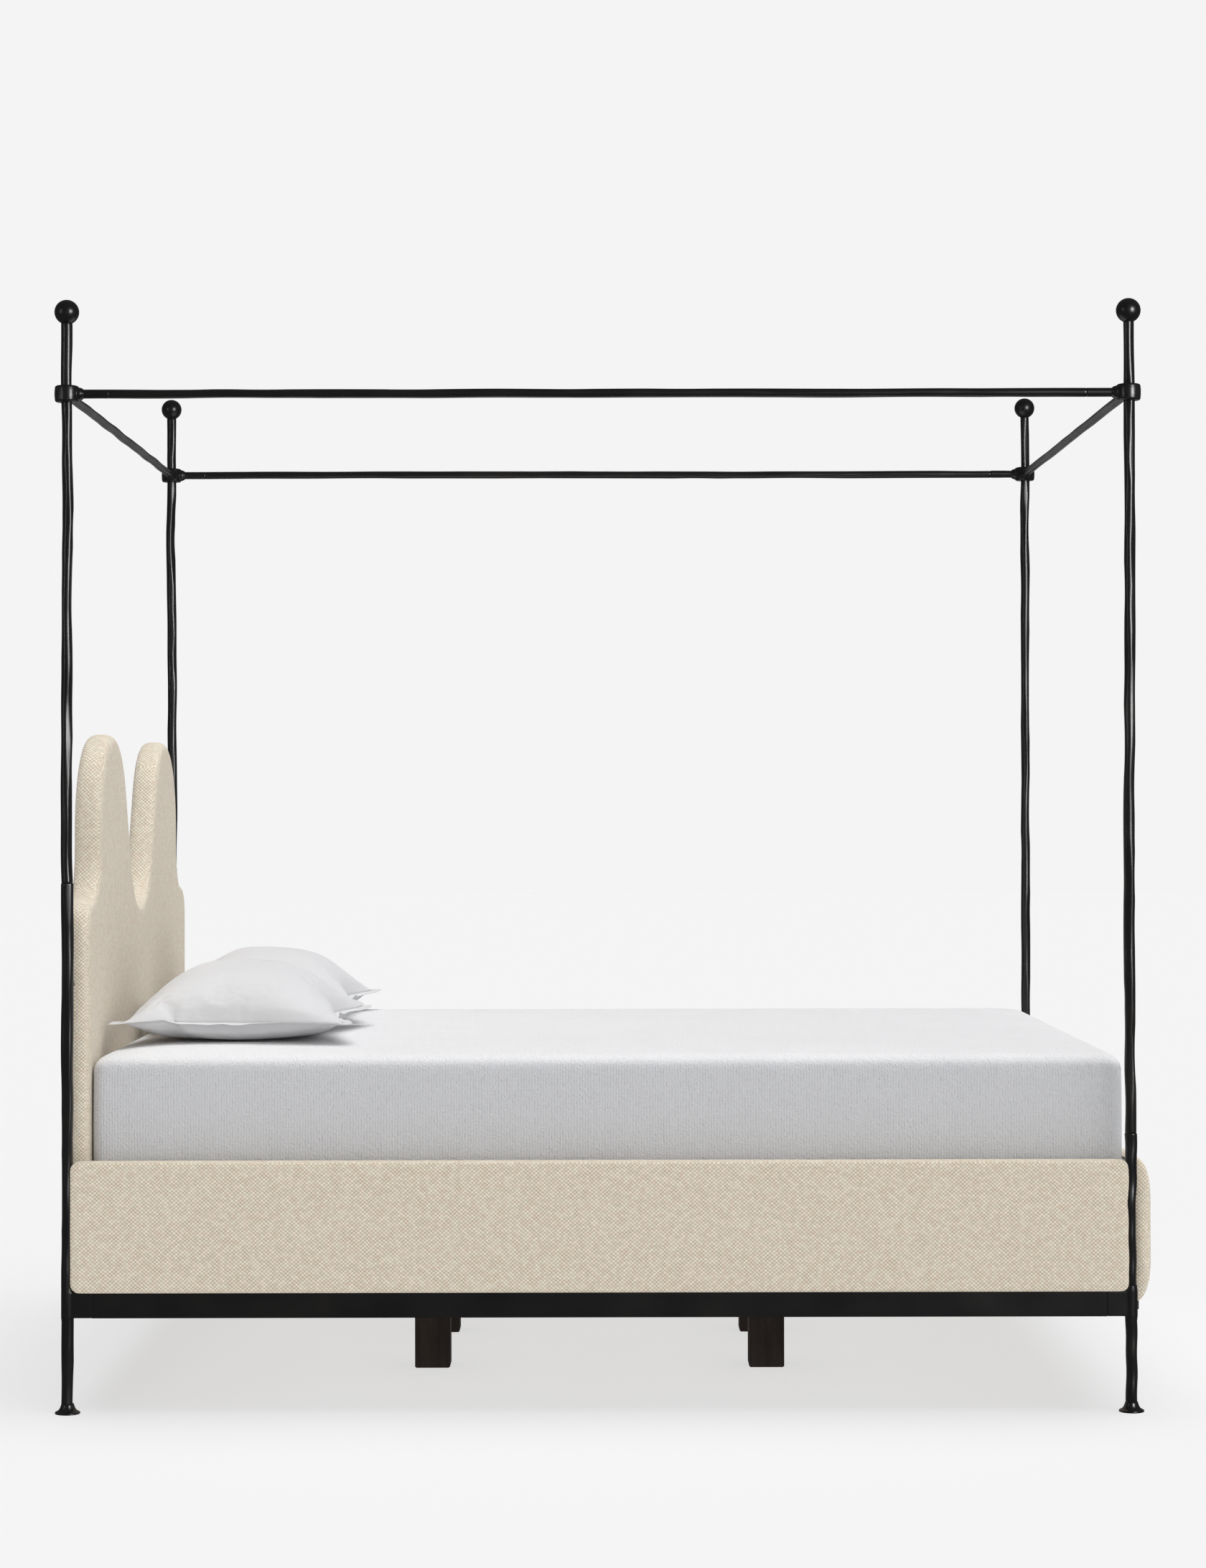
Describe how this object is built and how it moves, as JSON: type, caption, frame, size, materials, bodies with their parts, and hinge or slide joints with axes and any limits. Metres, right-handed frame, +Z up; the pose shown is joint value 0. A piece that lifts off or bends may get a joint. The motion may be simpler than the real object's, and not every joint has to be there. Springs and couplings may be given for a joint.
{
  "type": "four poster canopy bed",
  "caption": "Forged iron four poster with ball finials and a bar canopy, a two-lobed upholstered headboard, a low footboard, side panels, mattress and shams.",
  "frame": {"origin": "on the floor, in the middle of the footprint of the whole bed", "axes": "+X from the head to the foot, +Y from the near side (the one the picture shows) to the far side, +Z up"},
  "size_m": [2.176, 1.69, 2.2115],
  "materials": {
    "forged_iron": "hand-hammered iron, satin graphite black, waxed",
    "woven_upholstery": "chunky cream basket weave with tan flecks",
    "core_board": "plain sawn board",
    "leg_wood": "near-black stained hardwood, satin",
    "slat_wood": "planed pine",
    "foundation_ticking": "plain off-white ticking",
    "mattress_knit": "white ribbed knit cover",
    "sham_cotton": "white percale cotton, flanged"
  },
  "bodies": {
    "frame": {"bracket_foot_far": "forged_iron", "bracket_foot_near": "forged_iron", "bracket_head_far": "forged_iron", "bracket_head_near": "forged_iron", "canopy_cross_bar_foot": "forged_iron", "canopy_cross_bar_head": "forged_iron", "canopy_side_bar_far": "forged_iron", "canopy_side_bar_near": "forged_iron", "centre_leg_foot_far": "leg_wood", "centre_leg_foot_near": "leg_wood", "centre_leg_head_far": "leg_wood", "centre_leg_head_near": "leg_wood", "collar_foot_far": "forged_iron", "collar_foot_near": "forged_iron", "collar_head_far": "forged_iron", "collar_head_near": "forged_iron", "finial_foot_far": "forged_iron", "finial_foot_near": "forged_iron", "finial_head_far": "forged_iron", "finial_head_near": "forged_iron", "foot_rail": "forged_iron", "footboard_core": "core_board", "footboard_upholstery": "woven_upholstery", "head_rail": "forged_iron", "headboard_core": "core_board", "headboard_upholstery": "woven_upholstery", "panel_pins": "forged_iron", "post_foot_foot_far": "forged_iron", "post_foot_foot_near": "forged_iron", "post_foot_head_far": "forged_iron", "post_foot_head_near": "forged_iron", "post_lower_foot_far": "forged_iron", "post_lower_foot_near": "forged_iron", "post_lower_head_far": "forged_iron", "post_lower_head_near": "forged_iron", "post_upper_foot_far": "forged_iron", "post_upper_foot_near": "forged_iron", "post_upper_head_far": "forged_iron", "post_upper_head_near": "forged_iron", "rail_bolts_far": "forged_iron", "rail_bolts_near": "forged_iron", "side_panel_core_far": "core_board", "side_panel_core_near": "core_board", "side_panel_upholstery_far": "woven_upholstery", "side_panel_upholstery_near": "woven_upholstery", "side_rail_far": "forged_iron", "side_rail_near": "forged_iron", "slat_1": "slat_wood", "slat_2": "slat_wood", "slat_3": "slat_wood", "slat_4": "slat_wood", "slat_5": "slat_wood", "slat_6": "slat_wood", "slat_7": "slat_wood"},
    "foundation": {"foundation": "foundation_ticking"},
    "mattress": {"mattress": "mattress_knit"},
    "sham_near": {"sham_near": "sham_cotton"},
    "sham_far": {"sham_far": "sham_cotton"}
  },
  "joints": [
    {"name": "foundation_lift", "type": "slide", "parent": "frame", "child": "foundation", "axis": [0, 0, 1], "range_m": [0, 0.1]},
    {"name": "mattress_lift", "type": "slide", "parent": "foundation", "child": "mattress", "axis": [0, 0, 1], "range_m": [0, 0.15]},
    {"name": "sham_near_lift", "type": "slide", "parent": "mattress", "child": "sham_near", "axis": [0, 0, 1], "range_m": [0, 0.25]},
    {"name": "sham_far_lift", "type": "slide", "parent": "mattress", "child": "sham_far", "axis": [0, 0, 1], "range_m": [0, 0.25]}
  ]
}
